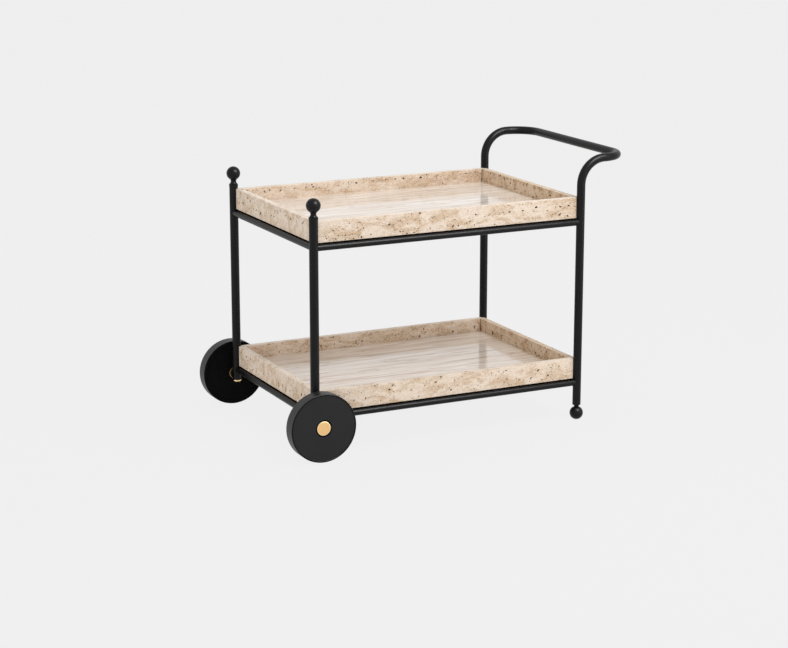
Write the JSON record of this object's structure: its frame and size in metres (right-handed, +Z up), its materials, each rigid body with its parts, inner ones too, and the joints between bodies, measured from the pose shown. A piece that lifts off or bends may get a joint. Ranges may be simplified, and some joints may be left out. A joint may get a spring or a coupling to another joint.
{
  "type": "cheese trolley",
  "caption": "Two-tier serving trolley: thin black tube frame with ball finials and ball feet, bent-tube handle, open travertine trays and large solid wheels with brass hubs.",
  "frame": {"origin": "on the floor, in the middle of the outline seen from above", "axes": "+X from the wheels towards the handle, +Y to the right of the person who pushes, +Z up"},
  "size_m": [1.086, 0.689, 0.776],
  "materials": {
    "black_painted_steel": "satin black paint on steel tube",
    "travertine": "honed, pitted, with fine veins",
    "brass": "satin",
    "wheel_face": "matt black",
    "tyre": "matt black rubber",
    "rubber": "matt",
    "plain_steel": "plain"
  },
  "bodies": {
    "frame": {"wheel_axle_left": "black_painted_steel", "wheel_axle_right": "black_painted_steel", "front_post_left": "black_painted_steel", "front_post_right": "black_painted_steel", "upper_rail_left": "black_painted_steel", "upper_rail_right": "black_painted_steel", "upper_rail_front": "black_painted_steel", "upper_rail_rear": "black_painted_steel", "lower_rail_left": "black_painted_steel", "lower_rail_right": "black_painted_steel", "lower_rail_front": "black_painted_steel", "lower_rail_rear": "black_painted_steel", "handle_tube": "black_painted_steel", "finial_left": "black_painted_steel", "finial_right": "black_painted_steel", "foot_left": "black_painted_steel", "foot_right": "black_painted_steel", "finial_plugs": "plain_steel", "finial_studs": "plain_steel", "foot_plugs": "plain_steel", "foot_studs": "plain_steel", "post_end_cap_left": "brass", "post_end_cap_right": "brass", "upper_tray_rim_left": "travertine", "upper_tray_rim_rear": "travertine", "upper_tray_rim_right": "travertine", "upper_tray_rim_front": "travertine", "upper_tray_slab": "travertine", "upper_tray_strips": "rubber", "lower_tray_rim_left": "travertine", "lower_tray_rim_rear": "travertine", "lower_tray_rim_right": "travertine", "lower_tray_rim_front": "travertine", "lower_tray_slab": "travertine", "lower_tray_strips": "rubber", "wheel_spacer_left": "black_painted_steel", "wheel_spacer_right": "black_painted_steel", "axle_washers": "plain_steel", "axle_nuts": "plain_steel"},
    "left_wheel": {"wheel_disc_left": "wheel_face", "tyre_left": "tyre", "hub_bush_left": "brass", "hub_cap_left": "brass"},
    "right_wheel": {"wheel_disc_right": "wheel_face", "tyre_right": "tyre", "hub_bush_right": "brass", "hub_cap_right": "brass"}
  },
  "joints": [
    {"name": "left_wheel_turn", "type": "hinge", "parent": "frame", "child": "left_wheel", "pos_m": [-0.447, -0.3255, 0.096], "axis": [0, 1, 0], "continuous": true},
    {"name": "right_wheel_turn", "type": "hinge", "parent": "frame", "child": "right_wheel", "pos_m": [-0.447, 0.3255, 0.096], "axis": [0, 1, 0], "continuous": true}
  ]
}
